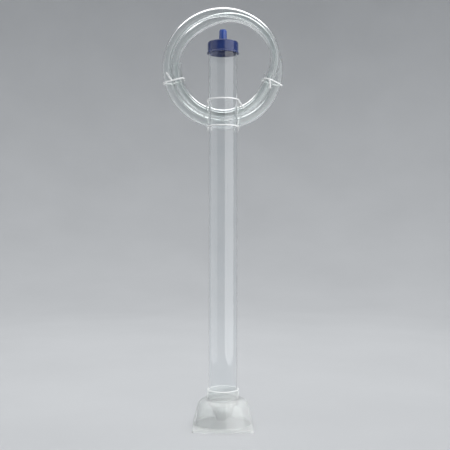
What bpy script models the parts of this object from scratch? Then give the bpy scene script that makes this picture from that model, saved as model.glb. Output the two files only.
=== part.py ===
"""Gravel vacuum siphon with a self-start valve, a scraper foot and a coiled hose.

Metres, +Z up. The origin is the centre of the bell's foot, on the surface it stands on, and
the front is -Y. The tube, cap, bell and valve share the Z axis; the hose coil stands upright
behind the upper tube, lashed to it.
"""

import math

import bmesh
import bpy
from mathutils import Matrix, Vector

MM = 0.001
GAP = 0.3 * MM
TURN_STEPS = 48

# tube
TUBE_RADIUS = 23.2 * MM
TUBE_WALL = 1.5 * MM
TUBE_BOTTOM = 40.4 * MM
TUBE_TOP = 607.7 * MM
SOCKET_RADIUS = TUBE_RADIUS + GAP

# seals, one under each end face of the tube
SEAL_HEIGHT = 1.5 * MM
SEAL_INNER = 21.7 * MM

# cap
CAP_RADIUS = 24.5 * MM
CAP_BOTTOM = 593.0 * MM
CAP_TOP = 611.8 * MM
CAP_PLATE = 2.0 * MM
CAP_ROUND = 2.2 * MM
LIP_RADIUS = 25.7 * MM
LIP_HEIGHT = 1.3 * MM
NOZZLE_TOP = 631.6 * MM
NOZZLE_BASE_RADIUS = 6.3 * MM
NOZZLE_TIP_RADIUS = 5.9 * MM
NOZZLE_BORE = 4.5 * MM
NOZZLE_CHAMFER = 1.2 * MM

# bell: collar, dome, inner socket and square foot
COLLAR_RADIUS = 25.5 * MM
COLLAR_TOP = 57.6 * MM
BELL_WALL = 1.8 * MM
DOME_TOP = 43.0 * MM
DOME_ARC = 16.1 * MM
DOME_ARC_CENTRE = 26.0 * MM
DOME_TAPER_DEG = 13.0
DOME_BASE_RADIUS = 47.6 * MM
DOME_BASE = 3.5 * MM
MOUTH_RIM = 1.0 * MM
INNER_SOCKET_RADIUS = 25.1 * MM
LEDGE_RADIUS = 21.5 * MM
LEDGE_TOP = 35.0 * MM
FOOT_WIDTH = 96.0 * MM
FOOT_DEPTH = 100.0 * MM
FOOT_HEIGHT = 4.0 * MM
FOOT_WALL = 2.0 * MM
FOOT_CORNER = 4.0 * MM

# self-start valve
FUNNEL_RADIUS = LEDGE_RADIUS - GAP
FUNNEL_WALL = 1.6 * MM
FUNNEL_RIM = 1.5 * MM
FUNNEL_SHOULDER = 33.0 * MM
FUNNEL_MOUTH = 8.0 * MM
FUNNEL_MOUTH_RADIUS = 10.0 * MM
BALL_RADIUS = 11.0 * MM
BALL_LIFT = 7.0 * MM
CAGE_RIM = 1.2 * MM
CAGE_RING_WALL = 1.5 * MM
CAGE_HUB_RADIUS = 3.5 * MM
CAGE_SPOKE = 2.0 * MM
CAGE_SPOKES = 4

# hose coil: clear 12/16 mm hose
HOSE_RADIUS = 8.0 * MM
HOSE_BORE = 6.0 * MM
HOSE_LENGTH = 1.33
COIL_RADIUS = 100.0 * MM
COIL_INNER = 68.0 * MM
COIL_FRONT = 26.2 * MM
COIL_DEPTH = 32.4 * MM
COIL_CORNER = 6.0 * MM
COIL_HEIGHT = 578.0 * MM

# wire ties round the coil, and the one that lashes it to the tube
TIE_RADIUS = 1.2 * MM
TIE_CORNER = 4.0 * MM
TIE_ANGLES = {"coil_tie_left": 195.0, "coil_tie_right": -15.0}

BLUE = (0.020, 0.043, 0.260, 1.0)
CLEAR = (0.86, 0.90, 0.92, 1.0)
MILKY = (0.68, 0.73, 0.74, 1.0)
RUBBER = (0.30, 0.31, 0.32, 1.0)
WIRE = (0.75, 0.76, 0.76, 1.0)


def clear_scene():
    """Remove the objects that an open file already holds."""
    for old in list(bpy.data.objects):
        bpy.data.objects.remove(old, do_unlink=True)


def new_collection(name):
    """Make a collection under the scene's own."""
    group = bpy.data.collections.new(name)
    bpy.context.scene.collection.children.link(group)
    return group


def plastic(name, colour, roughness, transmission=0.0):
    """Principled material of one moulded piece."""
    material = bpy.data.materials.new(name)
    material.use_nodes = True
    shader = material.node_tree.nodes["Principled BSDF"]
    shader.inputs["Base Color"].default_value = colour
    shader.inputs["Roughness"].default_value = roughness
    shader.inputs["Metallic"].default_value = 0.0
    shader.inputs["Transmission Weight"].default_value = transmission
    material.diffuse_color = colour
    return material


def add_object(name, data, group, material=None):
    """Link a new object to a collection and give it its material."""
    piece = bpy.data.objects.new(name, data)
    group.objects.link(piece)
    if material:
        data.materials.append(material)
    return piece


def arc(centre_radius, centre_height, radius, start_deg, end_deg, steps):
    """Points of an arc in the (radius, height) plane, both ends included."""
    points = []
    for step in range(steps + 1):
        angle = math.radians(start_deg + (end_deg - start_deg) * step / steps)
        points.append((centre_radius + radius * math.cos(angle), centre_height + radius * math.sin(angle)))
    return points


def turned(name, profile, group, material=None):
    """Ring-shaped solid turned about Z from a closed profile that runs down its outer side."""
    count = len(profile)
    mesh = bpy.data.meshes.new(name)
    edges = [(index, (index + 1) % count) for index in range(count)]
    mesh.from_pydata([(radius, 0.0, height) for radius, height in profile], edges, [])
    piece = add_object(name, mesh, group, material)
    turn = piece.modifiers.new("Turn", "SCREW")
    turn.steps = TURN_STEPS
    turn.render_steps = TURN_STEPS
    turn.use_merge_vertices = True
    turn.merge_threshold = 0.00001
    turn.use_smooth_shade = True
    return piece


def rounded_box(name, size, height, corner, base, group, material=None):
    """Upright plate with rounded vertical edges, standing at height base."""
    mesh = bpy.data.meshes.new(name)
    shape = bmesh.new()
    bmesh.ops.create_cube(shape, size=1.0)
    bmesh.ops.scale(shape, vec=(size[0], size[1], height), verts=shape.verts)
    bmesh.ops.translate(shape, vec=(0.0, 0.0, base + height / 2), verts=shape.verts)
    upright = [e for e in shape.edges if abs(e.verts[0].co.z - e.verts[1].co.z) > height / 2]
    bmesh.ops.bevel(shape, geom=upright, offset=corner, segments=5, profile=0.5, affect="EDGES")
    shape.to_mesh(mesh)
    shape.free()
    return add_object(name, mesh, group, material)


def cylinder(name, radius, base, top, group, material=None):
    """Upright solid cylinder between two heights."""
    mesh = bpy.data.meshes.new(name)
    shape = bmesh.new()
    middle = Matrix.Translation((0.0, 0.0, (base + top) / 2))
    bmesh.ops.create_cone(
        shape, cap_ends=True, segments=TURN_STEPS, radius1=radius, radius2=radius,
        depth=top - base, matrix=middle,
    )
    shape.to_mesh(mesh)
    shape.free()
    return add_object(name, mesh, group, material)


def cut_or_join(piece, other, operation):
    """Boolean on piece with another object, which becomes a hidden cutter."""
    boolean = piece.modifiers.new(other.name, "BOOLEAN")
    boolean.operation = operation
    boolean.solver = "EXACT"
    boolean.object = other
    other.hide_render = True
    other.display_type = "WIRE"


def smooth_round_faces(piece, sharp_deg=35.0):
    """Shade a mesh smooth except across its real edges."""
    piece.data.shade_smooth()
    piece.data.set_sharp_from_angle(angle=math.radians(sharp_deg))


def make_tube(group):
    """Clear rigid tube, open at both ends."""
    inner = TUBE_RADIUS - TUBE_WALL
    profile = [(TUBE_RADIUS, TUBE_TOP), (TUBE_RADIUS, TUBE_BOTTOM), (inner, TUBE_BOTTOM), (inner, TUBE_TOP)]
    return turned("suction_tube", profile, group, plastic("clear_tube", CLEAR, 0.05, 0.9))


def make_seal(name, base, group):
    """Flat ring that lies against an end face of the tube."""
    top = base + SEAL_HEIGHT
    profile = [(TUBE_RADIUS, top), (TUBE_RADIUS, base), (SEAL_INNER, base), (SEAL_INNER, top)]
    return turned(name, profile, group, plastic(name, RUBBER, 0.6))


def make_cap(group):
    """Push-on cap with a flared lip and a tapered hose nozzle, bored right through."""
    ceiling = CAP_TOP - CAP_PLATE
    profile = [(NOZZLE_TIP_RADIUS - NOZZLE_CHAMFER / 2, NOZZLE_TOP)]
    profile.append((NOZZLE_TIP_RADIUS, NOZZLE_TOP - NOZZLE_CHAMFER))
    profile.append((NOZZLE_BASE_RADIUS, CAP_TOP))
    profile += arc(CAP_RADIUS - CAP_ROUND, CAP_TOP - CAP_ROUND, CAP_ROUND, 90.0, 0.0, 4)
    profile.append((CAP_RADIUS, CAP_BOTTOM + 2 * LIP_HEIGHT))
    profile.append((LIP_RADIUS, CAP_BOTTOM + LIP_HEIGHT))
    profile.append((LIP_RADIUS, CAP_BOTTOM))
    profile.append((SOCKET_RADIUS, CAP_BOTTOM))
    profile.append((SOCKET_RADIUS, ceiling))
    profile.append((NOZZLE_BORE, ceiling))
    profile.append((NOZZLE_BORE, NOZZLE_TOP))
    return turned("outlet_cap", profile, group, plastic("blue_cap", BLUE, 0.22))


def bell_shell_profile():
    """Collar, dome and inner socket as one wall, down the outside and back up the inside."""
    arc_height = DOME_TOP - DOME_ARC
    roof_inner = DOME_ARC - BELL_WALL
    profile = [(COLLAR_RADIUS, COLLAR_TOP), (COLLAR_RADIUS, DOME_TOP)]
    profile += arc(DOME_ARC_CENTRE, arc_height, DOME_ARC, 90.0, DOME_TAPER_DEG, 8)
    profile += [(DOME_BASE_RADIUS, DOME_BASE), (DOME_BASE_RADIUS, MOUTH_RIM)]
    profile += [(DOME_BASE_RADIUS - BELL_WALL, MOUTH_RIM), (DOME_BASE_RADIUS - BELL_WALL, DOME_BASE)]
    profile += arc(DOME_ARC_CENTRE, arc_height, roof_inner, DOME_TAPER_DEG, 90.0, 8)
    profile += [(INNER_SOCKET_RADIUS, arc_height + roof_inner)]
    profile += [(INNER_SOCKET_RADIUS, LEDGE_TOP - 1.5 * MM), (LEDGE_RADIUS, LEDGE_TOP - 1.5 * MM)]
    profile += [(LEDGE_RADIUS, LEDGE_TOP), (SOCKET_RADIUS, LEDGE_TOP), (SOCKET_RADIUS, COLLAR_TOP)]
    return profile


def make_bell(group, cutters):
    """Square foot, open underneath, with the round shell joined to it round the mouth."""
    foot = rounded_box(
        "bell", (FOOT_WIDTH, FOOT_DEPTH), FOOT_HEIGHT, FOOT_CORNER, 0.0, group,
        plastic("milky_bell", MILKY, 0.25, 0.5),
    )
    inside = (FOOT_WIDTH - 2 * FOOT_WALL, FOOT_DEPTH - 2 * FOOT_WALL)
    pocket_corner = FOOT_CORNER - FOOT_WALL
    pocket = rounded_box("bell_pocket", inside, 2 * FOOT_WALL, pocket_corner, -FOOT_WALL, cutters)
    cut_or_join(foot, pocket, "DIFFERENCE")
    mouth_radius = DOME_BASE_RADIUS - BELL_WALL / 2
    mouth = cylinder("bell_mouth", mouth_radius, -FOOT_WALL, 2 * FOOT_HEIGHT, cutters)
    cut_or_join(foot, mouth, "DIFFERENCE")
    shell = turned("bell_shell", bell_shell_profile(), cutters)
    cut_or_join(foot, shell, "UNION")
    smooth_round_faces(foot)
    return foot


def funnel_slope():
    """Growth of the funnel's radius for each metre of height."""
    return (FUNNEL_RADIUS - FUNNEL_MOUTH_RADIUS) / (FUNNEL_SHOULDER - FUNNEL_MOUTH)


def funnel_inner_radius(height):
    """Radius of the funnel's inner cone at a height."""
    across = FUNNEL_WALL / math.cos(math.atan(funnel_slope()))
    return FUNNEL_MOUTH_RADIUS - across + funnel_slope() * (height - FUNNEL_MOUTH)


def funnel_top():
    """Height of the funnel's rim, which lies on the bell's ledge."""
    return LEDGE_TOP + GAP + FUNNEL_RIM


def ball_height():
    """Height of the ball's centre when it lies in the cone."""
    seat_radius = (BALL_RADIUS + GAP) / math.cos(math.atan(funnel_slope()))
    return FUNNEL_MOUTH + (seat_radius - funnel_inner_radius(FUNNEL_MOUTH)) / funnel_slope()


def make_funnel(group):
    """Cone that hangs through the bell's ledge and seats the ball."""
    top = funnel_top()
    bore = FUNNEL_RADIUS - FUNNEL_WALL
    inner_mouth = funnel_inner_radius(FUNNEL_MOUTH)
    bend = FUNNEL_MOUTH + (bore - inner_mouth) / funnel_slope()
    profile = [(TUBE_RADIUS, top), (TUBE_RADIUS, top - FUNNEL_RIM), (FUNNEL_RADIUS, top - FUNNEL_RIM)]
    profile += [(FUNNEL_RADIUS, FUNNEL_SHOULDER), (FUNNEL_MOUTH_RADIUS, FUNNEL_MOUTH)]
    profile += [(inner_mouth, FUNNEL_MOUTH), (bore, bend), (bore, top)]
    return turned("valve_funnel", profile, group, plastic("milky_funnel", MILKY, 0.3, 0.5))


def make_ball(group):
    """Valve ball, lying in the funnel's cone."""
    mesh = bpy.data.meshes.new("valve_ball")
    shape = bmesh.new()
    bmesh.ops.create_uvsphere(shape, u_segments=24, v_segments=14, radius=BALL_RADIUS)
    shape.to_mesh(mesh)
    shape.free()
    ball = add_object("valve_ball", mesh, group, plastic("white_ball", MILKY, 0.3))
    ball.location = (0.0, 0.0, ball_height())
    smooth_round_faces(ball, 60.0)
    return ball


def make_cage(group, cutters):
    """Spoked ring above the ball, with a rim that lies on the funnel's."""
    rim_base = funnel_top() + GAP
    top = rim_base + CAGE_RIM
    bottom = ball_height() + BALL_RADIUS + BALL_LIFT + GAP
    ring_radius = FUNNEL_RADIUS - FUNNEL_WALL - GAP
    inner = ring_radius - CAGE_RING_WALL
    profile = [(TUBE_RADIUS, top), (TUBE_RADIUS, rim_base), (ring_radius, rim_base)]
    profile += [(ring_radius, bottom), (inner, bottom), (inner, top)]
    ring = turned("valve_ring", profile, cutters)
    milky = plastic("milky_cage", MILKY, 0.3, 0.5)
    hub = cylinder("valve_cage", CAGE_HUB_RADIUS, bottom, top, group, milky)
    inset = CAGE_RING_WALL / 5
    for index in range(CAGE_SPOKES // 2):
        size = (2 * (inner + CAGE_RING_WALL / 2), CAGE_SPOKE)
        spoke = rounded_box(
            f"valve_spoke_{index}", size, top - bottom - 2 * inset, CAGE_SPOKE / 10, bottom + inset, cutters
        )
        spoke.rotation_euler = (0.0, 0.0, math.pi * index / (CAGE_SPOKES // 2) + math.pi / 4)
        cut_or_join(hub, spoke, "UNION")
    cut_or_join(hub, ring, "UNION")
    smooth_round_faces(hub)
    return hub


def coil_wall():
    """Wall that gives the coil's hollow ring the volume of the hose's own plastic."""
    hose_volume = math.pi * (HOSE_RADIUS**2 - HOSE_BORE**2) * HOSE_LENGTH
    outer_side = 2 * math.pi * COIL_RADIUS * COIL_DEPTH
    flat_sides = 2 * math.pi * (COIL_RADIUS**2 - COIL_INNER**2)
    return hose_volume / (outer_side + flat_sides)


def make_coil(group):
    """Outer shape of the coiled hose: an upright ring, open towards its middle."""
    wall = coil_wall()
    half = COIL_DEPTH / 2
    corner_radius = COIL_RADIUS - COIL_CORNER
    corner_depth = half - COIL_CORNER
    profile = arc(corner_radius, corner_depth, COIL_CORNER, 90.0, 0.0, 3)
    profile += arc(corner_radius, -corner_depth, COIL_CORNER, 0.0, -90.0, 3)
    profile += [(COIL_INNER, -half), (COIL_INNER, wall - half)]
    profile += arc(corner_radius, -corner_depth, COIL_CORNER - wall, -90.0, 0.0, 3)
    profile += arc(corner_radius, corner_depth, COIL_CORNER - wall, 0.0, 90.0, 3)
    profile += [(COIL_INNER, half - wall), (COIL_INNER, half)]
    coil = turned("hose_coil", profile, group, plastic("clear_hose", CLEAR, 0.15, 0.8))
    coil.rotation_euler = (math.radians(90.0), 0.0, 0.0)
    coil.location = (0.0, COIL_FRONT + half, COIL_HEIGHT)
    return coil


def rounded_loop(corners, corner_radius, steps=3):
    """Points of a closed loop through the corners, each rounded off by a short curve."""
    points = []
    count = len(corners)
    for index, corner in enumerate(corners):
        before = (corners[index - 1] - corner).normalized() * corner_radius
        after = (corners[(index + 1) % count] - corner).normalized() * corner_radius
        for step in range(steps + 1):
            along = step / steps
            points.append(corner + before * (1 - along) ** 2 + after * along**2)
    return points


def wire_loop(name, points, group):
    """Closed loop of plastic-coated wire."""
    curve = bpy.data.curves.new(name, "CURVE")
    curve.dimensions = "3D"
    curve.bevel_depth = TIE_RADIUS
    curve.bevel_resolution = 2
    spline = curve.splines.new("POLY")
    spline.points.add(len(points) - 1)
    for target, point in zip(spline.points, points):
        target.co = (*point, 1.0)
    spline.use_cyclic_u = True
    return add_object(name, curve, group, plastic(name, WIRE, 0.35))


def make_coil_tie(name, angle_deg, group):
    """Wire loop round the coil's section, at an angle on the coil."""
    reach = TIE_RADIUS + GAP
    near = COIL_FRONT - reach
    far = COIL_FRONT + COIL_DEPTH + reach
    inner = COIL_INNER - 2 * reach
    outer = COIL_RADIUS + reach
    section = [(inner, near), (outer, near), (outer, far), (inner, far)]
    outward = Vector((math.cos(math.radians(angle_deg)), 0.0, math.sin(math.radians(angle_deg))))
    centre = Vector((0.0, 0.0, COIL_HEIGHT))
    corners = [centre + outward * radius + Vector((0.0, depth, 0.0)) for radius, depth in section]
    return wire_loop(name, rounded_loop(corners, TIE_CORNER), group)


def tube_front(radius, height, start_deg, end_deg, steps=12):
    """Half turn round the front of the tube, at one height."""
    points = []
    for step in range(steps + 1):
        angle = math.radians(start_deg + (end_deg - start_deg) * step / steps)
        points.append(Vector((radius * math.cos(angle), radius * math.sin(angle), height)))
    return points


def make_lashing(group):
    """Wire that crosses the tube's front above and below the coil and passes behind the coil."""
    reach = TIE_RADIUS + GAP
    side = TUBE_RADIUS + 2 * reach
    above = COIL_HEIGHT - math.sqrt(COIL_INNER**2 - (side + reach) ** 2) + 2 * reach
    below = COIL_HEIGHT - COIL_RADIUS - reach
    back = COIL_FRONT + COIL_DEPTH + reach
    right_side = [Vector((side, back, above)), Vector((side, back, below))]
    left_side = [Vector((-side, back, below)), Vector((-side, back, above))]
    loop = tube_front(side, above, 180.0, 360.0)
    loop += rounded_loop([loop[-1], *right_side, Vector((side, 0.0, below))], TIE_CORNER)[4:12]
    loop += tube_front(side, below, 360.0, 180.0)
    loop += rounded_loop([loop[-1], *left_side, Vector((-side, 0.0, above))], TIE_CORNER)[4:12]
    return wire_loop("coil_lashing", loop, group)


def hang_on(pieces, name, height, group, parent=None):
    """Parent pieces to an empty on the common axis that stands for one moving body."""
    pivot = bpy.data.objects.new(name, None)
    pivot.empty_display_size = 20 * MM
    group.objects.link(pivot)
    pivot.parent = parent
    pivot.location = (0.0, 0.0, height)
    if parent:
        pivot.location.z -= parent.matrix_world.translation.z
    bpy.context.view_layer.update()
    for piece in pieces:
        piece.parent = pivot
        piece.matrix_parent_inverse = pivot.matrix_world.inverted()
    return pivot


def main():
    clear_scene()
    siphon = new_collection("gravel_siphon")
    cutters = new_collection("cutters")
    make_bell(siphon, cutters)
    funnel = make_funnel(siphon)
    cage = make_cage(siphon, cutters)
    cage_top = funnel_top() + GAP + CAGE_RIM
    collar_seal = make_seal("collar_seal", cage_top + GAP, siphon)
    ball = make_ball(siphon)
    tube = make_tube(siphon)
    coil = make_coil(siphon)
    ties = [make_coil_tie(name, angle, siphon) for name, angle in TIE_ANGLES.items()]
    lashing = make_lashing(siphon)
    cap_seal = make_seal("cap_seal", TUBE_TOP + GAP, siphon)
    cap = make_cap(siphon)
    insert_turn = hang_on([funnel, cage, collar_seal], "insert_turn", LEDGE_TOP, siphon)
    hang_on([ball], "ball_lift", ball_height(), siphon, insert_turn)
    tube_pull = hang_on([tube, coil, lashing, *ties], "tube_pull", TUBE_BOTTOM, siphon, insert_turn)
    hang_on([cap, cap_seal], "cap_pull", TUBE_TOP, siphon, tube_pull)
    bpy.context.view_layer.update()


main()
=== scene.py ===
"""Looks of the gravel vacuum siphon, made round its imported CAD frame.

Metres, +Z up, the front at -Y, as in the frame. Every shown CAD node is replaced by a finer
piece of the same size: turned mouldings, a hollow hose, and wire ties with twisted tails.
"""

import math

import bmesh
import bpy
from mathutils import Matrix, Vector


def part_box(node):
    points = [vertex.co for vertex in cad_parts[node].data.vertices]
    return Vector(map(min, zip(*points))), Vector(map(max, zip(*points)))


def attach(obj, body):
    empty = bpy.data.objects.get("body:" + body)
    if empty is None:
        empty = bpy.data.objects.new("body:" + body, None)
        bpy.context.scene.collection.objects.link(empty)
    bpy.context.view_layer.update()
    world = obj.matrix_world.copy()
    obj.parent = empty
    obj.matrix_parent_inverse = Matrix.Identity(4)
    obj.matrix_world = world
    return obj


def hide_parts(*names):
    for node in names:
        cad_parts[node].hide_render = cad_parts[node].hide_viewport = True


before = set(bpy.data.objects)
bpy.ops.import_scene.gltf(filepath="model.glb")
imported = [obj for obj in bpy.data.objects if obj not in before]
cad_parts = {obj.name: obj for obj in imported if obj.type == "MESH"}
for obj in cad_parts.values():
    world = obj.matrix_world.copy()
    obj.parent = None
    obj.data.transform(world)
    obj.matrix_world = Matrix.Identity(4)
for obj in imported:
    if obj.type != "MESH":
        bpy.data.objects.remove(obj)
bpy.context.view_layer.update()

# the bell's far corner: half the foot's two widths, and the collar's height
BELL_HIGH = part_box("bell")[1]

MM = 0.001
ROUND_STEPS = 128

# sizes that the frame's boxes don't give, as in the CAD
TUBE_WALL = 1.5 * MM
CAP_PLATE = 2.0 * MM
CAP_HEIGHT = 18.8 * MM
CAP_RADIUS = 24.5 * MM
LIP_HEIGHT = 1.4 * MM
LIP_FLARE = 2.6 * MM
SOCKET_RADIUS = 23.5 * MM
NOZZLE_BASE_RADIUS = 6.3 * MM
NOZZLE_TIP_RADIUS = 5.9 * MM
NOZZLE_BORE = 4.5 * MM
NOZZLE_LEAD_WIDTH = 1.0 * MM
NOZZLE_LEAD_HEIGHT = 1.7 * MM
BELL_WALL = 1.8 * MM
COLLAR_RADIUS = 25.5 * MM
DOME_TOP = 43.0 * MM
DOME_ARC = 16.1 * MM
DOME_ARC_CENTRE = 26.0 * MM
DOME_TAPER_DEG = 13.0
DOME_ROOF_DEG = 83.0
DOME_STEPS = 14
DOME_BASE_RADIUS = 47.6 * MM
INNER_SOCKET_RADIUS = 25.1 * MM
LEDGE_RADIUS = 21.5 * MM
LEDGE_TOP = 35.0 * MM
LEDGE_WALL = 1.5 * MM
FOOT_HEIGHT = 4.0 * MM
FOOT_PLATE = 2.0 * MM
FOOT_WALL = 2.0 * MM
FOOT_DRAFT = 0.5 * MM
FOOT_RIM = 0.9 * MM
FOOT_CORNER = 4.0 * MM
MOUTH_RIM = 1.0 * MM
FUNNEL_RADIUS = 21.2 * MM
FUNNEL_WALL = 1.6 * MM
FUNNEL_RIM = 1.5 * MM
FUNNEL_SHOULDER = 33.0 * MM
FUNNEL_MOUTH_RADIUS = 10.0 * MM
CAGE_RING_RADIUS = 19.3 * MM
CAGE_RING_WALL = 1.5 * MM
CAGE_HUB_RADIUS = 3.5 * MM
CAGE_SPOKES = 4
CAGE_SPOKE = 2.0 * MM
CAGE_SPOKE_SHARE = 0.75
CAGE_BITE = 0.6 * MM
CAGE_RIM = 1.2 * MM
SEAL_INNER = 21.7 * MM

# fine steps on each side of the foot's four corners, and the span in radians that they fill
CORNER_STEP_DEG = 0.35
CORNER_STEPS = 12
CORNER_SPAN = 0.085

# the ball's parting line: its half width and its rise, as shares of the ball's radius
SEAM_SHARE = 0.02
SEAM_RISE = 0.006

# the hose and its coil, as in the CAD
HOSE_RADIUS = 8.0 * MM
HOSE_BORE = 6.0 * MM
HOSE_GAP = 0.1 * MM
COIL_HEIGHT = 578.0 * MM
COIL_FRONT = 26.2 * MM
COIL_DEPTH = 32.4 * MM
COIL_RADIUS = 100.0 * MM
COIL_INNER = 68.0 * MM
COIL_START_DEG = 175.0
COIL_END_DEG = 1075.0
COIL_STEPS = 225

# stretches, as angles counted along the hose, over which it crosses the coil's section
OUTWARD_DEG = (330.0, 395.0)
BACKWARD_DEG = (610.0, 690.0)
INWARD_DEG = (780.0, 845.0)
FAR_INWARD_DEG = (880.0, 930.0)
INWARD_STEP = 11.0 * MM

# the wire ties; the wire's ends narrow to a share of its radius
TIE_RADIUS = 1.2 * MM
TIE_STEP = 1.5 * MM
TIE_SIDES = 12
END_SHARE = 0.6
TAIL_RADIUS = 0.7 * TIE_RADIUS
TAIL_SPREAD = 0.75 * TIE_RADIUS
TAIL_LENGTH = 15.0 * MM
TAIL_PITCH = 7.0 * MM
TAIL_STEPS = 48
TAIL_SIDES = 10
LASHING_ROUND = 9.0 * MM
LASHING_STEPS = 24
ROUND_OFF_STEPS = 6
LASHING_GAP = 0.3 * MM
LASHING_SLACK = 0.2 * MM
TIE_ANGLES = {"tie_left": ("coil_tie_left", 195.0), "tie_right": ("coil_tie_right", -15.0)}

# the view: level, straight at the front
VIEW_DISTANCE = 1.192
VIEW_HEIGHT = 0.3194
VIEW_ASIDE = 0.0032
VIEW_LENS_MM = 59.6

# the stage: a flat floor, a bowl that rises from it, and a wall
FLOOR_MIDDLE = 0.8
FLOOR_RADIUS = 1.5
BOWL_RADIUS = 2.1
WALL_TOP = 3.0

# the softboxes
SOFTBOX_DISTANCE = 0.55
SOFTBOX_HEIGHT = 1.1

# the materials' noise, and the range that it keeps to, more or less
NOISE_DETAIL = 4.0
NOISE_LOW = 0.3
NOISE_HIGH = 0.7


# ---------------------------------------------------------------- camera

def make_camera():
    """Level camera in front of the siphon, at the middle of its height."""
    data = bpy.data.cameras.new("camera")
    data.lens = VIEW_LENS_MM
    data.sensor_width = 36.0
    camera = bpy.data.objects.new("camera", data)
    bpy.context.scene.collection.objects.link(camera)
    camera.location = (VIEW_ASIDE, -VIEW_DISTANCE, VIEW_HEIGHT)
    camera.rotation_euler = (math.radians(90.0), 0.0, 0.0)
    bpy.context.scene.camera = camera


# ---------------------------------------------------------------- materials

def new_look(name):
    """Material with a Principled shader, and its node tree."""
    material = bpy.data.materials.new(name)
    material.use_nodes = True
    return material, material.node_tree, material.node_tree.nodes["Principled BSDF"]


def grain(tree, scale, stretch=(1.0, 1.0, 1.0)):
    """Noise in the object's own metres, stretched along an axis by a small factor there."""
    nodes, links = tree.nodes, tree.links
    place = nodes.new("ShaderNodeTexCoord")
    mapping = nodes.new("ShaderNodeMapping")
    mapping.inputs["Scale"].default_value = stretch
    noise = nodes.new("ShaderNodeTexNoise")
    noise.inputs["Scale"].default_value = scale
    noise.inputs["Detail"].default_value = NOISE_DETAIL
    links.new(place.outputs["Object"], mapping.inputs["Vector"])
    links.new(mapping.outputs["Vector"], noise.inputs["Vector"])
    return noise.outputs["Fac"]


def between(tree, factor, low, high):
    """Number that goes from low to high with a noise."""
    spread = tree.nodes.new("ShaderNodeMapRange")
    spread.inputs["From Min"].default_value = NOISE_LOW
    spread.inputs["From Max"].default_value = NOISE_HIGH
    spread.inputs["To Min"].default_value = low
    spread.inputs["To Max"].default_value = high
    tree.links.new(factor, spread.inputs["Value"])
    return spread.outputs["Result"]


def blended(tree, factor, dark, light):
    """Colour that goes from dark to light with a noise."""
    ramp = tree.nodes.new("ShaderNodeValToRGB")
    ramp.color_ramp.elements[0].position = NOISE_LOW
    ramp.color_ramp.elements[0].color = (*dark, 1.0)
    ramp.color_ramp.elements[1].position = NOISE_HIGH
    ramp.color_ramp.elements[1].color = (*light, 1.0)
    tree.links.new(factor, ramp.inputs["Fac"])
    return ramp.outputs["Color"]


def by_height(tree, stops):
    """Number that depends on the height, through (height, number) stops."""
    nodes, links = tree.nodes, tree.links
    place = nodes.new("ShaderNodeTexCoord")
    parts = nodes.new("ShaderNodeSeparateXYZ")
    share = nodes.new("ShaderNodeMapRange")
    low, high = stops[0][0], stops[-1][0]
    share.inputs["From Min"].default_value = low
    share.inputs["From Max"].default_value = high
    # a new ramp has two stops of its own
    ramp = nodes.new("ShaderNodeValToRGB")
    for index, (height, number) in enumerate(stops):
        at = (height - low) / (high - low)
        stop = ramp.color_ramp.elements[index] if index < 2 else ramp.color_ramp.elements.new(at)
        stop.position = at
        stop.color = (number, number, number, 1.0)
    links.new(place.outputs["Object"], parts.inputs["Vector"])
    links.new(parts.outputs["Z"], share.inputs["Value"])
    links.new(share.outputs["Result"], ramp.inputs["Fac"])
    return ramp.outputs["Color"]


def rough_skin(tree, shader, noises, distance):
    """Bump from (noise, strength) pairs."""
    normal = None
    for noise, strength in noises:
        bump = tree.nodes.new("ShaderNodeBump")
        bump.inputs["Strength"].default_value = strength
        bump.inputs["Distance"].default_value = distance
        tree.links.new(noise, bump.inputs["Height"])
        if normal:
            tree.links.new(normal, bump.inputs["Normal"])
        normal = bump.outputs["Normal"]
    tree.links.new(normal, shader.inputs["Normal"])


def blue_look():
    """Glossy navy moulded plastic with flow and handling marks, and a lighter blue painted on the thin
    nozzle for the light that shines through it.
    """
    material, tree, shader = new_look("blue_plastic")
    mark = grain(tree, 90.0)
    thick = blended(tree, mark, (0.005, 0.013, 0.064), (0.008, 0.019, 0.086))
    # painted light: a lighter blue for the light that shines through the thin nozzle
    lit_through_blue = blended(tree, mark, (0.013, 0.036, 0.160), (0.019, 0.050, 0.210))
    mix = tree.nodes.new("ShaderNodeMix")
    mix.data_type = "RGBA"
    # (height, share of the lighter blue painted for light through the nozzle's thin wall): the change is
    # just above the cap's top
    shares = [(0.590, 0.0), (0.612, 0.0), (0.617, 1.0), (0.640, 1.0)]
    factor, first, second = (socket for socket in mix.inputs if socket.enabled)
    tree.links.new(by_height(tree, shares), factor)
    tree.links.new(thick, first)
    tree.links.new(lit_through_blue, second)
    colour = next(socket for socket in mix.outputs if socket.enabled)
    tree.links.new(colour, shader.inputs["Base Color"])
    tree.links.new(between(tree, grain(tree, 260.0), 0.15, 0.26), shader.inputs["Roughness"])
    shader.inputs["IOR"].default_value = 1.46
    shader.inputs["Specular IOR Level"].default_value = 0.42
    skin = [(grain(tree, 1400.0), 0.05), (grain(tree, 300.0, (1.0, 1.0, 0.15)), 0.06)]
    rough_skin(tree, shader, skin, 0.2 * MM)
    return material


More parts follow.
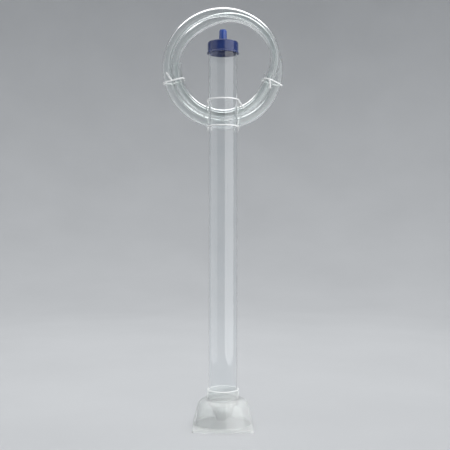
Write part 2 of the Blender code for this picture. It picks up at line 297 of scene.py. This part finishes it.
def milky_look():
    """Translucent natural plastic: hazy, whiter at its thick foot, with a painted highlight on its rim, and
    with soft flow marks.
    """
    material, tree, shader = new_look("milky_plastic")
    flow = grain(tree, 55.0, (1.0, 1.0, 0.35))
    colour = blended(tree, flow, (0.93, 0.955, 0.945), (0.98, 0.99, 0.985))
    tree.links.new(colour, shader.inputs["Base Color"])
    tree.links.new(between(tree, grain(tree, 180.0), 0.08, 0.17), shader.inputs["Roughness"])
    # (height, clearness): the thick foot is whiter, and the collar's top millimetre is whiter as a painted
    # rim highlight
    clearness_and_rim_highlight = [(0.0, 0.62), (3.6 * MM, 0.66), (4.6 * MM, 0.78), (56.8 * MM, 0.79), (57.4 * MM, 0.38)]
    tree.links.new(by_height(tree, clearness_and_rim_highlight), shader.inputs["Transmission Weight"])
    shader.inputs["IOR"].default_value = 1.40
    skin = [(grain(tree, 900.0), 0.05), (grain(tree, 160.0, (1.0, 1.0, 0.3)), 0.08)]
    rough_skin(tree, shader, skin, 0.2 * MM)
    return material


def clear_look():
    """Clear rigid tube with faint extrusion lines and a little dust haze."""
    material, tree, shader = new_look("clear_plastic")
    tint = blended(tree, grain(tree, 30.0), (0.955, 0.972, 0.980), (0.985, 0.992, 0.995))
    tree.links.new(tint, shader.inputs["Base Color"])
    haze = grain(tree, 240.0, (1.0, 1.0, 0.1))
    tree.links.new(between(tree, haze, 0.01, 0.06), shader.inputs["Roughness"])
    shader.inputs["IOR"].default_value = 1.49
    shader.inputs["Transmission Weight"].default_value = 1.0
    rough_skin(tree, shader, [(grain(tree, 520.0, (1.0, 1.0, 0.01)), 0.035)], 0.1 * MM)
    return material


def hose_look():
    """Clear soft hose: slightly green, slightly hazy, with a rippled skin."""
    material, tree, shader = new_look("clear_hose")
    tint = blended(tree, grain(tree, 40.0), (0.930, 0.955, 0.950), (0.965, 0.980, 0.975))
    tree.links.new(tint, shader.inputs["Base Color"])
    tree.links.new(between(tree, grain(tree, 150.0), 0.04, 0.12), shader.inputs["Roughness"])
    shader.inputs["IOR"].default_value = 1.42
    shader.inputs["Transmission Weight"].default_value = 1.0
    rough_skin(tree, shader, [(grain(tree, 130.0), 0.06), (grain(tree, 600.0), 0.02)], 0.3 * MM)
    return material


def ball_look():
    """White valve ball, satin, with a faint mottle."""
    material, tree, shader = new_look("ball_plastic")
    colour = blended(tree, grain(tree, 220.0), (0.66, 0.70, 0.71), (0.76, 0.79, 0.80))
    tree.links.new(colour, shader.inputs["Base Color"])
    tree.links.new(between(tree, grain(tree, 400.0), 0.28, 0.42), shader.inputs["Roughness"])
    rough_skin(tree, shader, [(grain(tree, 1200.0), 0.06)], 0.1 * MM)
    return material


def seal_look():
    """Pale silicone rubber with a matt, dusty skin."""
    material, tree, shader = new_look("seal_rubber")
    colour = blended(tree, grain(tree, 300.0), (0.50, 0.53, 0.54), (0.60, 0.63, 0.64))
    tree.links.new(colour, shader.inputs["Base Color"])
    tree.links.new(between(tree, grain(tree, 700.0), 0.5, 0.7), shader.inputs["Roughness"])
    rough_skin(tree, shader, [(grain(tree, 1600.0), 0.15)], 0.1 * MM)
    return material


def tie_look():
    """White coated wire, with the coating's fine ripple."""
    material, tree, shader = new_look("tie_wire")
    colour = blended(tree, grain(tree, 200.0), (0.46, 0.47, 0.47), (0.54, 0.55, 0.55))
    tree.links.new(colour, shader.inputs["Base Color"])
    tree.links.new(between(tree, grain(tree, 500.0), 0.3, 0.5), shader.inputs["Roughness"])
    rough_skin(tree, shader, [(grain(tree, 900.0), 0.12)], 0.2 * MM)
    return material


def stage_look():
    """Pale matt floor with a barely visible mottle."""
    material, tree, shader = new_look("pale_floor")
    colour = blended(tree, grain(tree, 3.0), (0.53, 0.54, 0.55), (0.56, 0.57, 0.58))
    tree.links.new(colour, shader.inputs["Base Color"])
    shader.inputs["Roughness"].default_value = 0.8
    return material


# ---------------------------------------------------------------- shapes

def arc(centre_across, centre_up, radius, start_deg, end_deg, steps):
    """Points of an arc in a plane, both ends included."""
    points = []
    for step in range(steps + 1):
        angle = math.radians(start_deg + (end_deg - start_deg) * step / steps)
        points.append((centre_across + radius * math.cos(angle), centre_up + radius * math.sin(angle)))
    return points


def rounded(corners, steps=3):
    """Closed profile through (radius, height, rounding) corners, each rounded off."""
    points = []
    count = len(corners)
    for index, (radius, height, rounding) in enumerate(corners):
        here = Vector((radius, height))
        if not rounding:
            points.append((radius, height))
            continue
        before = (Vector(corners[index - 1][:2]) - here).normalized() * rounding
        after = (Vector(corners[(index + 1) % count][:2]) - here).normalized() * rounding
        for step in range(steps + 1):
            along = step / steps
            points.append(tuple(here + before * (1 - along) ** 2 + after * along**2))
    return points


def plain(points):
    """Arc points as corners that aren't rounded further."""
    return [(radius, height, 0.0) for radius, height in points]


def finished(name, shape, look, body, slot, *nodes, sharp_deg=40.0):
    """Object from a bmesh, shaded, with its material, body and the CAD nodes it replaces; the slot argument
    is not used.
    """
    bmesh.ops.recalc_face_normals(shape, faces=shape.faces)
    inside_out = shape.calc_volume(signed=True) < 0.0
    if inside_out:
        bmesh.ops.reverse_faces(shape, faces=shape.faces)
    mesh = bpy.data.meshes.new(name)
    shape.to_mesh(mesh)
    shape.free()
    mesh.materials.append(look)
    mesh.shade_smooth()
    mesh.set_sharp_from_angle(angle=math.radians(sharp_deg))
    piece = bpy.data.objects.new(name, mesh)
    bpy.context.scene.collection.objects.link(piece)
    # long walls keep their own normals beside the narrow rounded edges
    flat_walls = piece.modifiers.new("flat_walls", "WEIGHTED_NORMAL")
    flat_walls.keep_sharp = True
    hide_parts(*nodes)
    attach(piece, body)
    return piece


def skin_between(shape, row, following):
    """Faces between two closed rows of as many vertices."""
    for index in range(len(row)):
        after = (index + 1) % len(row)
        shape.faces.new((row[index], row[after], following[after], following[index]))


def ring_mesh(shape, rings):
    """Skin a loop of equal rings of points, the last joined to the first."""
    rows = [[shape.verts.new(point) for point in ring] for ring in rings]
    for row, following in zip(rows, rows[1:] + rows[:1]):
        skin_between(shape, row, following)


def lathe(profile_at, angles):
    """Turned shape whose closed profile may change with the angle, as a bmesh."""
    shape = bmesh.new()
    rings = []
    for angle in angles:
        across = Vector((math.cos(angle), math.sin(angle), 0.0))
        rings.append([across * radius + Vector((0.0, 0.0, height)) for radius, height in profile_at(angle)])
    ring_mesh(shape, rings)
    return shape


def round_angles(steps=ROUND_STEPS):
    """Equal steps round a full turn."""
    return [2 * math.pi * step / steps for step in range(steps)]


def turned(profile):
    """Turned shape with one profile all round, as a bmesh."""
    return lathe(lambda angle: profile, round_angles())


def radius_and_heights(node):
    """Radius, bottom and top of a turned CAD node."""
    low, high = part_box(node)
    return (high.x - low.x) / 2, low.z, high.z


# ---------------------------------------------------------------- tube, cap and seals

def make_tube(look):
    """Clear tube with polished, slightly rounded ends."""
    radius, bottom, top = radius_and_heights("suction_tube")
    inner = radius - TUBE_WALL
    edge = 0.35 * MM
    corners = [(radius, top, edge), (radius, bottom, edge), (inner, bottom, edge), (inner, top, edge)]
    tube = finished("clear_tube", turned(rounded(corners)), look, "tube", "clear_plastic", "suction_tube")
    tube.visible_shadow = False


def make_seal(name, node, look, body):
    """Flat seal with soft edges."""
    radius, bottom, top = radius_and_heights(node)
    edge = 0.5 * MM
    corners = [(radius, top, edge), (radius, bottom, edge)]
    corners += [(SEAL_INNER, bottom, edge), (SEAL_INNER, top, edge)]
    finished(name, turned(rounded(corners)), look, body, "seal_rubber", node)


def make_cap(look):
    """Cap with a soft top edge, a flared lip and a tapered nozzle, bored through."""
    lip, bottom, top = radius_and_heights("outlet_cap")
    plate = bottom + CAP_HEIGHT
    ceiling = plate - CAP_PLATE
    fine = 0.3 * MM
    corners = [(NOZZLE_TIP_RADIUS - NOZZLE_LEAD_WIDTH, top, fine)]
    corners += [(NOZZLE_TIP_RADIUS, top - NOZZLE_LEAD_HEIGHT, 1.3 * MM)]
    corners += [(NOZZLE_BASE_RADIUS, plate, 0.9 * MM)]
    corners += [(CAP_RADIUS, plate, 3.2 * MM), (CAP_RADIUS, bottom + LIP_FLARE, 1.0 * MM)]
    corners += [(lip, bottom + LIP_HEIGHT, 0.4 * MM), (lip, bottom, fine), (SOCKET_RADIUS, bottom, fine)]
    corners += [(SOCKET_RADIUS, ceiling, 0.6 * MM), (NOZZLE_BORE, ceiling, fine), (NOZZLE_BORE, top, fine)]
    finished("blue_cap", turned(rounded(corners, 5)), look, "cap", "blue_plastic", "outlet_cap")


# ---------------------------------------------------------------- bell

def foot_reach(angle, inset):
    """Distance from the axis to the foot's rounded outline, set in by some width."""
    half_x, half_y = BELL_HIGH.x - inset, BELL_HIGH.y - inset
    corner = max(FOOT_CORNER - inset, 0.5 * MM)
    across, along = abs(math.cos(angle)), abs(math.sin(angle))
    reach = min(half_x / max(across, 1e-9), half_y / max(along, 1e-9))
    centre = Vector((half_x - corner, half_y - corner))
    if reach * across > centre.x and reach * along > centre.y:
        toward = Vector((across, along)).dot(centre)
        reach = toward + math.sqrt(max(toward**2 - centre.length_squared + corner**2, 0.0))
    return reach


def foot_angles():
    """Equal steps with finer ones at the foot's four corners."""
    corner = math.atan2(BELL_HIGH.y, BELL_HIGH.x)
    centres = (corner, math.pi - corner, math.pi + corner, 2 * math.pi - corner)
    angles = [angle for angle in round_angles(160) if min(abs(angle - at) for at in centres) > CORNER_SPAN]
    for centre in centres:
        for step in range(-CORNER_STEPS, CORNER_STEPS + 1):
            angles.append(centre + math.radians(CORNER_STEP_DEG * step))
    return sorted(angles)


def bell_profile(angle):
    """Collar, dome, foot and inner socket at one angle, from the collar's top round and back."""
    fine = 0.3 * MM
    collar_top = BELL_HIGH.z
    arc_height = DOME_TOP - DOME_ARC
    roof_inner = DOME_ARC - BELL_WALL
    foot_top = foot_reach(angle, FOOT_DRAFT)
    foot_low = foot_reach(angle, 0.0)
    # where the dome is as wide as the foot, the plate between them narrows to a hair
    skirt = max(foot_reach(angle, FOOT_WALL), DOME_BASE_RADIUS + 0.05 * MM)
    base = min(DOME_BASE_RADIUS, foot_top - 0.1 * MM)
    profile = [(COLLAR_RADIUS, collar_top, 0.7 * MM), (COLLAR_RADIUS, DOME_TOP, 1.2 * MM)]
    profile += plain(arc(DOME_ARC_CENTRE, arc_height, DOME_ARC, DOME_ROOF_DEG, DOME_TAPER_DEG, DOME_STEPS))
    profile += [(base, FOOT_HEIGHT, fine), (foot_top, FOOT_HEIGHT, fine), (foot_low, 0.0, fine)]
    profile += [(foot_low - FOOT_RIM, 0.0, fine), (skirt, FOOT_PLATE, 0.0)]
    profile += [(DOME_BASE_RADIUS, FOOT_PLATE, 0.0), (DOME_BASE_RADIUS, MOUTH_RIM, fine)]
    profile += [(DOME_BASE_RADIUS - BELL_WALL, MOUTH_RIM, fine)]
    profile += [(DOME_BASE_RADIUS - BELL_WALL, FOOT_HEIGHT, fine)]
    profile += plain(arc(DOME_ARC_CENTRE, arc_height, roof_inner, DOME_TAPER_DEG, 90.0, DOME_STEPS))
    profile += [(INNER_SOCKET_RADIUS, arc_height + roof_inner, fine)]
    ledge_bottom = LEDGE_TOP - LEDGE_WALL
    profile += [(INNER_SOCKET_RADIUS, ledge_bottom, fine), (LEDGE_RADIUS, ledge_bottom, fine)]
    profile += [(LEDGE_RADIUS, LEDGE_TOP, fine), (SOCKET_RADIUS, LEDGE_TOP, fine)]
    profile += [(SOCKET_RADIUS, collar_top, 0.5 * MM)]
    return rounded(profile)


def make_bell(look):
    """Milky bell: one wall from the collar's rim to the square scraper foot."""
    finished("milky_bell", lathe(bell_profile, foot_angles()), look, "bell", "milky_plastic", "bell")


# ---------------------------------------------------------------- valve

def make_funnel(look):
    """Cone of the valve, with its rim on the bell's ledge."""
    rim, mouth, top = radius_and_heights("valve_funnel")
    slope = (FUNNEL_RADIUS - FUNNEL_MOUTH_RADIUS) / (FUNNEL_SHOULDER - mouth)
    bore = FUNNEL_RADIUS - FUNNEL_WALL
    inner_mouth = FUNNEL_MOUTH_RADIUS - FUNNEL_WALL / math.cos(math.atan(slope))
    bend = mouth + (bore - inner_mouth) / slope
    fine = 0.25 * MM
    corners = [(rim, top, fine), (rim, top - FUNNEL_RIM, fine), (FUNNEL_RADIUS, top - FUNNEL_RIM, 0.0)]
    corners += [(FUNNEL_RADIUS, FUNNEL_SHOULDER, 1.5 * MM), (FUNNEL_MOUTH_RADIUS, mouth, 0.5 * MM)]
    corners += [(inner_mouth, mouth, 0.5 * MM), (bore, bend, 1.5 * MM), (bore, top, fine)]
    finished("funnel", turned(rounded(corners)), look, "valve_insert", "milky_plastic", "valve_funnel")


def add_box(shape, size, centre, turn):
    """Box with bevelled edges, turned about the vertical, added to a bmesh."""
    edge_width = 0.25 * MM
    made = bmesh.ops.create_cube(shape, size=1.0)["verts"]
    bmesh.ops.scale(shape, vec=size, verts=made)
    edges = list({edge for vert in made for edge in vert.link_edges})
    made = bmesh.ops.bevel(shape, geom=edges, offset=edge_width, segments=2, profile=0.5, affect="EDGES")
    cosine, sine = math.cos(turn), math.sin(turn)
    for vert in {vert for face in made["faces"] for vert in face.verts}:
        x, y, z = vert.co
        vert.co = (centre.x + x * cosine - y * sine, centre.y + x * sine + y * cosine, centre.z + z)


def make_cage(look):
    """Spoked ring over the ball, with a round hub that the ball stops against."""
    rim, bottom, top = radius_and_heights("valve_cage")
    inner = CAGE_RING_RADIUS - CAGE_RING_WALL
    fine = 0.2 * MM
    corners = [(rim, top, fine), (rim, top - CAGE_RIM, fine), (CAGE_RING_RADIUS, top - CAGE_RIM, 0.0)]
    corners += [(CAGE_RING_RADIUS, bottom, fine), (inner, bottom, fine), (inner, top, fine)]
    shape = turned(rounded(corners))
    middle = (bottom + top) / 2
    spoke_length = inner - CAGE_HUB_RADIUS + CAGE_BITE
    spoke = (spoke_length, CAGE_SPOKE, (top - bottom) * CAGE_SPOKE_SHARE)
    out = (inner + CAGE_HUB_RADIUS) / 2
    for index in range(CAGE_SPOKES):
        turn = math.pi * (2 * index + 1) / CAGE_SPOKES
        add_box(shape, spoke, Vector((out * math.cos(turn), out * math.sin(turn), middle)), turn)
    hub = bmesh.ops.create_uvsphere(shape, u_segments=32, v_segments=16, radius=CAGE_HUB_RADIUS)
    bmesh.ops.scale(shape, vec=(1.0, 1.0, (top - bottom) / 2 / CAGE_HUB_RADIUS), verts=hub["verts"])
    bmesh.ops.translate(shape, vec=(0.0, 0.0, middle), verts=hub["verts"])
    finished("cage", shape, look, "valve_insert", "milky_plastic", "valve_cage")


def make_ball(look):
    """Valve ball with a faint parting line round its middle."""
    radius, bottom, top = radius_and_heights("valve_ball")
    shape = bmesh.new()
    bmesh.ops.create_uvsphere(shape, u_segments=64, v_segments=32, radius=radius)
    for vert in shape.verts:
        if abs(vert.co.z) < radius * SEAM_SHARE:
            vert.co *= 1.0 + SEAM_RISE
    bmesh.ops.translate(shape, vec=(0.0, 0.0, (bottom + top) / 2), verts=shape.verts)
    finished("ball", shape, look, "ball", "ball_plastic", "valve_ball", sharp_deg=80.0)


# ---------------------------------------------------------------- hose and ties

def eased(stretch, value):
    """Smooth step from 0 at the stretch's start to 1 at its end."""
    start, end = stretch
    share = min(1.0, max(0.0, (value - start) / (end - start)))
    return share * share * (3 - 2 * share)


def strand(angle_deg):
    """Radius on the coil and depth of the hose's centre, at an angle counted along the hose."""
    lane = COIL_RADIUS - COIL_INNER - 2 * HOSE_RADIUS
    radius = COIL_INNER + HOSE_RADIUS
    radius += lane * eased(OUTWARD_DEG, angle_deg)
    radius -= INWARD_STEP * eased(INWARD_DEG, angle_deg)
    radius -= (lane - INWARD_STEP) * eased(FAR_INWARD_DEG, angle_deg)
    depth = COIL_FRONT + HOSE_RADIUS + HOSE_GAP
    depth += 2 * (HOSE_RADIUS + HOSE_GAP) * eased(BACKWARD_DEG, angle_deg)
    return radius, depth


def on_coil(angle_deg, radius, depth):
    """Point in the frame of an angle, radius and depth on the coil."""
    angle = math.radians(angle_deg)
    return Vector((radius * math.cos(angle), depth, COIL_HEIGHT + radius * math.sin(angle)))


def hose_route():
    """Centreline of the hose, from one cut end round the coil to the other."""
    sweep = COIL_END_DEG - COIL_START_DEG
    angles = [COIL_START_DEG + sweep * step / COIL_STEPS for step in range(COIL_STEPS + 1)]
    return [on_coil(angle, *strand(angle)) for angle in angles]


def frames_along(route, closed=False):
    """Two directions across the route at each of its points, turned as little as possible."""
    count = len(route)
    across = Vector((0.0, 1.0, 0.0))
    frames = []
    for index in range(count):
        ahead = route[(index + 1) % count] if closed or index + 1 < count else route[index]
        behind = route[index - 1] if closed or index else route[index]
        along = (ahead - behind).normalized()
        across = across - along * across.dot(along)
        if across.length < 1e-6:
            across = along.orthogonal()
        across.normalize()
        frames.append((across.copy(), along.cross(across)))
    return frames


def ring_round(centre, directions, radius, sides):
    """Points of a circle round the route."""
    first, second = directions
    points = []
    for turn in round_angles(sides):
        points.append(centre + (first * math.cos(turn) + second * math.sin(turn)) * radius)
    return points


def rings_along(route, frames, radius, sides):
    """Circle of points round each point of a route."""
    return [ring_round(centre, directions, radius, sides) for centre, directions in zip(route, frames)]


def add_tube(shape, route, radius, sides, closed=False):
    """Solid round tube along a route, its ends rounded unless it is closed."""
    frames = frames_along(route, closed)
    if closed:
        ring_mesh(shape, rings_along(route, frames, radius, sides))
        return
    rings = [ring_round(route[0], frames[0], radius * END_SHARE, sides)]
    rings += rings_along(route, frames, radius, sides)
    rings.append(ring_round(route[-1], frames[-1], radius * END_SHARE, sides))
    rows = [[shape.verts.new(point) for point in ring] for ring in rings]
    out_first = (route[0] - route[1]).normalized() * radius * END_SHARE
    out_last = (route[-1] - route[-2]).normalized() * radius * END_SHARE
    for vert in rows[0]:
        vert.co += out_first
    for vert in rows[-1]:
        vert.co += out_last
    for row, following in zip(rows, rows[1:]):
        skin_between(shape, row, following)
    shape.faces.new(rows[0])
    shape.faces.new(reversed(rows[-1]))


def make_hose(look):
    """Hollow clear hose, wound in two and a half turns, with square-cut ends."""
    route = hose_route()
    frames = frames_along(route)
    sides = 24
    outer = rings_along(route, frames, HOSE_RADIUS, sides)
    inner = rings_along(route, frames, HOSE_BORE, sides)
    # each loop runs out along the outer wall and back along the bore
    loops = []
    for side in range(sides):
        loops.append([ring[side] for ring in outer] + [ring[side] for ring in reversed(inner)])
    shape = bmesh.new()
    ring_mesh(shape, loops)
    hose = finished("hose", shape, look, "tube", "clear_hose", "hose_coil", sharp_deg=60.0)
    hose.visible_shadow = False
    return hose, route


def turn_of(first, second, third):
    """Positive where three (x, y) points turn left."""
    ahead = (second[0] - first[0], second[1] - first[1])
    after = (third[0] - first[0], third[1] - first[1])
    return ahead[0] * after[1] - ahead[1] * after[0]


def loop_round(centres, reach):
    """Convex loop that keeps its reach from every centre, as (x, y) points."""
    points = []
    for x, y in centres:
        points += [(x + reach * math.cos(turn), y + reach * math.sin(turn)) for turn in round_angles(48)]
    points.sort()
    halves = []
    for ordered in (points, points[::-1]):
        half = []
        for point in ordered:
            while len(half) > 1 and turn_of(half[-2], half[-1], point) <= 0:
                half.pop()
            half.append(point)
        halves += half[:-1]
    return halves


def even(points, step):
    """Points along a closed line at equal steps."""
    line = points + points[:1]
    out = [line[0]]
    left = step
    for first, second in zip(line, line[1:]):
        length = (second - first).length
        walked = 0.0
        while length - walked >= left:
            walked += left
            out.append(first.lerp(second, walked / length))
            left = step
        left -= length - walked
    if (out[-1] - out[0]).length < step / 2:
        out.pop()
    return out


def add_twist(shape, root, out, side):
    """Two wire ends twisted together, standing out from a tie."""
    other = out.cross(side)
    for start in (0.0, math.pi):
        route = []
        for step in range(TAIL_STEPS + 1):
            along = TAIL_LENGTH * step / TAIL_STEPS
            turn = start + 2 * math.pi * along / TAIL_PITCH
            swing = side * math.cos(turn) + other * math.sin(turn)
            route.append(root + out * along + swing * TAIL_SPREAD)
        add_tube(shape, route, TAIL_RADIUS, TAIL_SIDES)


def make_tie(name, node, angle_deg, look):
    """Wire loop that hugs the hose's strands at one angle, with a twisted tail in front."""
    passes = [angle_deg % 360.0 + 360.0 * turn for turn in range(4)]
    passes = [angle for angle in passes if COIL_START_DEG <= angle <= COIL_END_DEG]
    loop = loop_round([strand(angle) for angle in passes], HOSE_RADIUS + TIE_RADIUS + HOSE_GAP)
    points = even([on_coil(angle_deg, radius, depth) for radius, depth in loop], TIE_STEP)
    shape = bmesh.new()
    add_tube(shape, points, TIE_RADIUS, TIE_SIDES, closed=True)
    root = min(points, key=lambda point: point.y)
    outward = on_coil(angle_deg, 1.0, 0.0) - on_coil(angle_deg, 0.0, 0.0)
    side = Vector((0.0, 1.0, 0.0)).cross(outward).normalized()
    # the tail lies along the coil, leaning a little outward and forward
    out = (outward * 0.35 + side + Vector((0.0, -0.12, 0.0))).normalized()
    add_twist(shape, root, out, out.orthogonal().normalized())
    return finished(name, shape, look, "tube", "tie_wire", node, sharp_deg=60.0)


def level_arc(radius, height, start_deg, end_deg):
    """Points of an arc about the tube's axis, both ends included."""
    return [Vector((x, y, height)) for x, y in arc(0.0, 0.0, radius, start_deg, end_deg, LASHING_STEPS)]


def rounded_run(corners, rounding):
    """Open line through the corners, its ends left off and the corners between them rounded."""
    points = []
    for behind, corner, ahead in zip(corners, corners[1:], corners[2:]):
        before = (behind - corner).normalized() * rounding
        after = (ahead - corner).normalized() * rounding
        for step in range(ROUND_OFF_STEPS + 1):
            along = step / ROUND_OFF_STEPS
            points.append(corner + before * (1 - along) ** 2 + after * along**2)
    return points


def make_lashing(look):
    """Wire that crosses the tube's front twice and passes behind the coil, twisted at the side."""
    tube_radius = radius_and_heights("suction_tube")[0]
    reach = TIE_RADIUS + LASHING_GAP
    side = tube_radius + reach + LASHING_SLACK
    above = COIL_HEIGHT - math.sqrt(COIL_INNER**2 - (side + 2 * reach) ** 2) + 2 * reach
    below = COIL_HEIGHT - COIL_RADIUS - reach
    back = COIL_FRONT + COIL_DEPTH + reach
    upper = level_arc(side, above, 180.0, 360.0)
    lower = level_arc(side, below, 0.0, -180.0)
    right_corners = [Vector((side, back, above)), Vector((side, back, below))]
    left_corners = [Vector((-side, back, below)), Vector((-side, back, above))]
    loop = upper + rounded_run([upper[-1], *right_corners, lower[0]], LASHING_ROUND)
    loop += lower + rounded_run([lower[-1], *left_corners, upper[0]], LASHING_ROUND)
    shape = bmesh.new()
    add_tube(shape, even(loop, TIE_STEP), TIE_RADIUS, TIE_SIDES, closed=True)
    # the tail hangs at the tube's right side
    root = Vector((side, 2 * MM, above))
    add_twist(shape, root, Vector((0.55, 0.25, -0.8)).normalized(), Vector((0.0, 1.0, 0.3)).normalized())
    return finished("lashing", shape, look, "tube", "tie_wire", "coil_lashing", sharp_deg=60.0)


# ---------------------------------------------------------------- stage and light

def make_stage(look):
    """Pale floor that rises all round into a seamless wall."""
    shape = bmesh.new()
    profile = [(FLOOR_MIDDLE, 0.0), (FLOOR_RADIUS, 0.0)]
    profile += arc(FLOOR_RADIUS, BOWL_RADIUS, BOWL_RADIUS, -88.0, 0.0, 22)
    profile.append((FLOOR_RADIUS + BOWL_RADIUS, WALL_TOP))
    steps = 96
    rows = []
    for step in range(steps):
        turn = 2 * math.pi * step / steps
        rows.append([
            shape.verts.new((radius * math.cos(turn), radius * math.sin(turn), height))
            for radius, height in profile
        ])
    centre = shape.verts.new((0.0, 0.0, 0.0))
    for row, following in zip(rows, rows[1:] + rows[:1]):
        shape.faces.new((centre, row[0], following[0]))
        for index in range(len(row) - 1):
            shape.faces.new((row[index], row[index + 1], following[index + 1], following[index]))
    bmesh.ops.recalc_face_normals(shape, faces=shape.faces)
    mesh = bpy.data.meshes.new("floor")
    shape.to_mesh(mesh)
    shape.free()
    mesh.materials.append(look)
    mesh.shade_smooth()
    floor = bpy.data.objects.new("floor", mesh)
    bpy.context.scene.collection.objects.link(floor)
    return floor


def lamp(name, azimuth_deg, height, distance, size, power, aim_height):
    """Soft rectangular lamp; azimuth 0 is in front of the siphon and 90 is on its right."""
    azimuth = math.radians(azimuth_deg)
    data = bpy.data.lights.new(name, "AREA")
    data.shape = "RECTANGLE"
    data.size, data.size_y = size
    data.energy = power
    made = bpy.data.objects.new(name, data)
    bpy.context.scene.collection.objects.link(made)
    made.location = (distance * math.sin(azimuth), -distance * math.cos(azimuth), height)
    aim = Vector((0.0, 0.0, aim_height)) - made.location
    made.rotation_euler = aim.to_track_quat("-Z", "Y").to_euler()
    made.visible_camera = False
    return made


def softbox(name, floor, azimuth_deg, width, power):
    """Tall softbox close to the siphon, which leaves its mark on the siphon and not on the floor."""
    middle = SOFTBOX_HEIGHT / 2
    size = (width, SOFTBOX_HEIGHT)
    box = lamp(name, azimuth_deg, middle, SOFTBOX_DISTANCE, size, power, middle)
    box.visible_transmission = False
    flagged = bpy.data.collections.new(name + "_flag")
    flagged.objects.link(floor)
    flagged.collection_objects[0].light_linking.link_state = "EXCLUDE"
    box.light_linking.receiver_collection = flagged


def make_light(floor):
    """Two tall softboxes with a gap at the front, a lamp overhead, and a dim even world."""
    softbox("key_right", floor, azimuth_deg=51.0, width=0.84, power=8.5)
    softbox("fill_left", floor, azimuth_deg=-76.0, width=0.66, power=2.4)
    lamp(
        "overhead", azimuth_deg=180.0, height=2.4, distance=0.4, size=(2.6, 2.6), power=44.0,
        aim_height=0.2,
    )
    world = bpy.data.worlds.new("studio")
    world.use_nodes = True
    background = world.node_tree.nodes["Background"]
    background.inputs["Color"].default_value = (0.95, 0.97, 1.0, 1.0)
    background.inputs["Strength"].default_value = 0.7
    bpy.context.scene.world = world
    bpy.context.scene.view_settings.view_transform = "Standard"


# ---------------------------------------------------------------- the whole

def main():
    """Camera, pieces, stage and light; the hose and its ties go with the tube."""
    make_camera()
    tie_plastic = tie_look()
    hose, route = make_hose(hose_look())
    ties = [make_tie(name, node, angle, tie_plastic) for name, (node, angle) in TIE_ANGLES.items()]
    ties.append(make_lashing(tie_plastic))
    milky = milky_look()
    make_tube(clear_look())
    make_cap(blue_look())
    rubber = seal_look()
    make_seal("cap_ring", "cap_seal", rubber, "cap")
    make_seal("collar_ring", "collar_seal", rubber, "valve_insert")
    make_bell(milky)
    make_funnel(milky)
    make_cage(milky)
    make_ball(ball_look())
    make_light(make_stage(stage_look()))


main()
